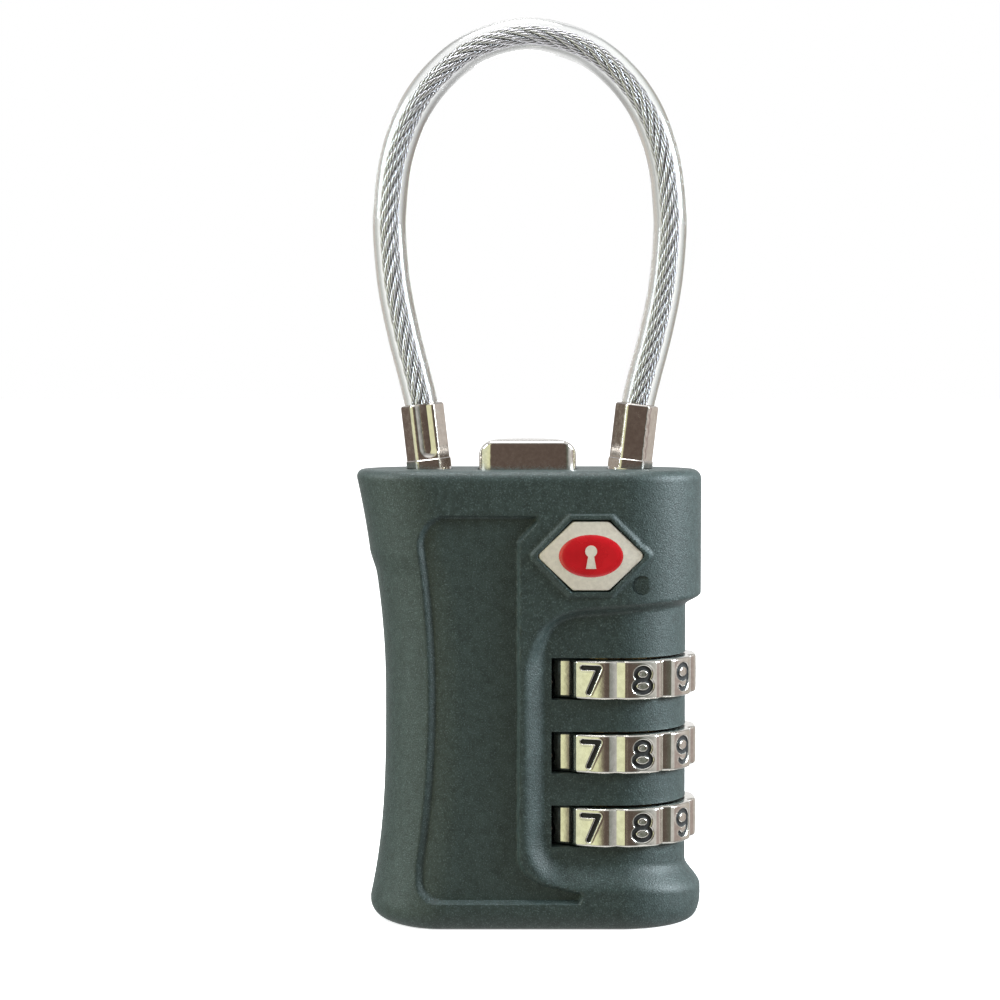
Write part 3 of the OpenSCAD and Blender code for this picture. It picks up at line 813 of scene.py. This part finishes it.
def make_button():
    top_edge = 0.35
    plan = button_outline(0)
    levels = [(plan, np.full(len(plan), z)) for z in (BUTTON_FLANGE_Z, 38.5, 39.8, 40.6)]
    for a in np.linspace(0, math.pi / 2, 8):
        plan = button_outline(top_edge * (1 - math.cos(a)))
        levels.append((plan, crowned(plan, BUTTON_TOP - top_edge + top_edge * math.sin(a))))
    for share in np.linspace(0.9, 0.03, 14):
        plan = button_outline(top_edge) * share
        levels.append((plan, crowned(plan, BUTTON_TOP)))
    cap = tube([np.column_stack([plan[:, 0] + BUTTON_X, plan[:, 1], z]) for plan, z in levels])
    flange = prism(rectangle(-4.95, 4.55, -3.5, 3.5), BUTTON_FLANGE_Z, 37.9)
    # the stem under the flange spreads at its top; (y, z) outline, three millimetres thick
    stem_yz = np.array([(-1.1, BUTTON_ARM_Z), (1.1, BUTTON_ARM_Z), (1.1, 35.3), (2, 36.2),
                        (2, 37.3), (-2, 37.3), (-2, 36.2), (-1.1, 35.3)])
    left = np.column_stack([np.full(8, -1.7), stem_yz])
    stem = tube([left, left + [3, 0, 0]])
    arm = prism(rectangle(-1.7, DIAL_X + 1.7, -1.6, 1.6), BUTTON_ARM_Z, 31.5)
    button = make_piece("push_button", *join_parts([cap, flange, stem, arm]), sharp=40)
    dress(button, "chrome", "button", "release_button")


# ---------------------------------------------------------------- springs
def coil(x, low, high, r, wire, turns):
    """Round wire wound up a vertical axis at x, between two heights."""
    per_turn = 36
    steps = int(turns * per_turn)
    a = np.arange(steps + 1)[:, None] * 2 * math.pi / per_turn
    b = np.arange(10)[None, :] * 2 * math.pi / 10
    out = r + wire * np.cos(b)
    rise = wire + (high - low - 2 * wire) * np.arange(steps + 1)[:, None] / steps
    return tube(np.stack([x + out * np.cos(a), out * np.sin(a), low + rise + wire * np.sin(b)], axis=-1))


def make_springs():
    # name, joint, node, axis in x, radius, wire radius, turns, share of the length left when pressed
    for name, joint, node, x, r, wire, turns, keep in (
            ("button_coil", "button_press", "button_spring", BUTTON_X, 1.35, 0.2, 4, 0.45),
            ("sleeve_coil", "reset_push", "sleeve_spring", DIAL_X, 3.7, 0.17, 2.5, 0.61)):
        low, high = (end[2] for end in node_box(node))
        spring = make_piece(name, *coil(x, low, high, r, wire, turns), sharp=60)
        dress(spring, "spring_steel", "case", node)
        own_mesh(spring)


# ---------------------------------------------------------------- badge
def slab(outline_at, y_back, y_face, edge):
    """Plate facing -Y with a rounded front edge; outline_at gives the outline for an inset."""
    rings = []
    for y, inset in [(y_back, 0), *[(y_face + edge - edge * math.sin(a), edge - edge * math.cos(a))
                                    for a in np.linspace(0, math.pi / 2, 5)]]:
        plan = outline_at(inset)
        rings.append(np.column_stack([plan[:, 0], np.full(len(plan), y), plan[:, 1]]))
    return tube(rings)


def make_badge():
    face_y = -(HALF_T + BADGE_UP)
    parts = [slab(lambda i: hexagon(9.5 - 2.3 * i, 6.0 - 2 * i, 3.15 - i, 0.45), -6.8, face_y, 0.14)]
    # the keyhole stands up through the enamel
    ring = arc(BADGE[0], BADGE[2] + 0.42, 0.52, 0.52, -60, 240, 26)
    keyhole = ring + [(BADGE[0] - 0.45, BADGE[2] - 1.1), (BADGE[0] + 0.45, BADGE[2] - 1.1)]
    parts.append(slab(lambda i: np.array(keyhole), -7.4, face_y - 0.16, 0.03))
    plate = make_piece("badge_hexagon", *join_parts(parts), sharp=40)
    dress(plate, "badge_metal", "case", "badge_plate")

    def oval(inset):
        return np.array(arc(BADGE[0], BADGE[2], 2.86 - inset, 1.92 - inset, 0, 354, 60))

    # the enamel swells over its first 0.6 mm and is flat inside that
    rings = []
    for inset in np.linspace(0, 1.9, 12):
        plan = oval(inset)
        y = face_y + 0.03 - 0.16 * math.sqrt(min(1, inset / 0.6)) if inset < 0.6 else face_y - 0.13
        rings.append(np.column_stack([plan[:, 0], np.full(len(plan), y), plan[:, 1]]))
    inlay = make_piece("badge_oval", *tube(rings), sharp=60)
    dress(inlay, "badge_enamel", "case", "badge_inlay")


# ---------------------------------------------------------------- the rest of the CAD nodes
def dress_inner_nodes():
    slots = {part["node"]: part["material_slot"] for part in frame["record"]["subparts"]}
    for node, obj in frame["nodes"].items():
        paint(obj, slots[node])


# ---------------------------------------------------------------- floor and light
# degrees round from the camera's side, right positive, and what the metal mirrors there
AZIMUTH_STOPS = [
    (-180, (1.0, 1.0, 1.0)), (-158, (1.0, 1.0, 1.0)), (-144, (0.46, 0.46, 0.46)),
    (-134, (0.20, 0.16, 0.14)), (-113, (0.16, 0.12, 0.10)), (-108, (0.80, 0.83, 0.60)),
    (-60, (0.92, 0.96, 0.68)), (-24, (1.0, 1.02, 0.64)), (-16, (0.16, 0.12, 0.10)),
    (26, (0.12, 0.09, 0.075)), (38, (0.15, 0.17, 0.13)), (50, (0.42, 0.43, 0.42)),
    (60, (0.72, 0.71, 0.68)), (74, (0.70, 0.68, 0.65)), (86, (0.46, 0.38, 0.36)),
    (104, (0.46, 0.38, 0.35)), (117, (0.68, 0.64, 0.60)), (128, (0.64, 0.58, 0.52)),
    (144, (0.46, 0.46, 0.46)), (158, (1.0, 1.0, 1.0)), (180, (1.0, 1.0, 1.0))]


def make_world():
    """Even white world, as the camera sees it."""
    world = bpy.data.worlds.new("studio")
    bpy.context.scene.world = world
    world.use_nodes = True
    world.node_tree.nodes["Background"].inputs["Color"].default_value = (1, 1, 1, 1)


def math_node(nodes, links, operation, *values):
    node = nodes.new("ShaderNodeMath")
    node.operation = operation
    for socket, value in zip(node.inputs, values):
        if isinstance(value, (int, float)):
            socket.default_value = value
        else:
            links.new(value, socket)
    return node.outputs[0]


def make_surround():
    """Dome of soft cards: it lights the object and shows in its metal, not to the camera."""
    rows, cols = 18, 48
    up = np.radians(np.linspace(-40, 88, rows))[:, None]
    a = np.radians(np.linspace(0, 360, cols, endpoint=False))[None, :]
    points = np.stack([DOME_R * np.cos(up) * np.cos(a), DOME_R * np.cos(up) * np.sin(a),
                       DOME_R * np.sin(up) + DOME_UP + 0 * a], axis=-1)
    dome = make_piece("surround", points.reshape(-1, 3), grid_faces(rows, cols, wrap=True))
    material = bpy.data.materials.new("surround")
    material.use_nodes = True
    nodes, links = material.node_tree.nodes, material.node_tree.links
    nodes.remove(nodes["Principled BSDF"])
    glow = nodes.new("ShaderNodeEmission")
    links.new(glow.outputs[0], nodes["Material Output"].inputs["Surface"])
    place = nodes.new("ShaderNodeTexCoord")
    parts = nodes.new("ShaderNodeSeparateXYZ")
    links.new(place.outputs["Object"], parts.inputs[0])
    back = math_node(nodes, links, "MULTIPLY", parts.outputs["Y"], -1.0)
    turn = math_node(nodes, links, "ARCTAN2", parts.outputs["X"], back)
    turn = math_node(nodes, links, "MULTIPLY_ADD", turn, 0.5 / math.pi, 0.5)
    band = ramp(nodes, links, turn, [((a + 180) / 360, c) for a, c in AZIMUTH_STOPS])
    height = math_node(nodes, links, "MULTIPLY_ADD", parts.outputs["Z"], 0.5 / (DOME_R * MM), 0.5)
    over = ramp(nodes, links, height, [(0.22, 0.85), (0.34, 0.0), (0.74, 0.0), (0.82, 0.9), (1.0, 1.0)])
    above = ramp(nodes, links, height, [(0.3, 0.3), (0.76, 0.3), (0.86, 0.45), (0.95, 1.0)])
    links.new(mix_colours(nodes, links, over, band, above), glow.inputs["Color"])
    dome.data.materials.append(material)
    dome.visible_camera = False


def area_light(name, place, size, power, colour=(1, 1, 1), target=(0, 0, 0.03)):
    light = bpy.data.objects.new(name, bpy.data.lights.new(name, "AREA"))
    light.data.shape, light.data.size, light.data.energy = "DISK", size, power
    light.data.color = colour
    light.location = place
    aim = np.array(target) - np.array(place)
    light.rotation_euler = Vector(aim).to_track_quat("-Z", "Y").to_euler()
    bpy.context.scene.collection.objects.link(light)


def make_studio():
    make_world()
    make_surround()
    bpy.context.scene.view_settings.view_transform = "Standard"
    plan = rectangle(-3000, 3000, -3000, 9000)
    floor = make_piece("floor", np.column_stack([plan, np.full(4, -LIFT - 0.02)]), [(0, 1, 2, 3)])
    material, nodes, links, shader = new_material("floor")
    paper = ramp(nodes, links, noise(nodes, links, 30), [(0.3, 0.86), (0.7, 0.9)])
    links.new(paper, shader.inputs["Base Color"])
    shader.inputs["Roughness"].default_value = 0.8
    shader.inputs["Emission Color"].default_value = (1, 1, 1, 1)
    shader.inputs["Emission Strength"].default_value = 0.62
    floor.data.materials.append(material)
    floor.visible_glossy = floor.visible_diffuse = floor.visible_transmission = floor.visible_shadow = False
    area_light("key", (0.42, -0.06, 0.19), 0.2, 3.9, (0.82, 0.94, 1.0))
    area_light("left", (-0.42, -0.05, 0.22), 0.25, 1.6, (0.86, 0.96, 1.0))
    area_light("top", (-0.05, 0.05, 0.45), 0.3, 1.6)


make_camera()
make_cable()
make_case()
make_dials()
make_ferrules()
make_button()
make_springs()
make_badge()
dress_inner_nodes()
make_studio()
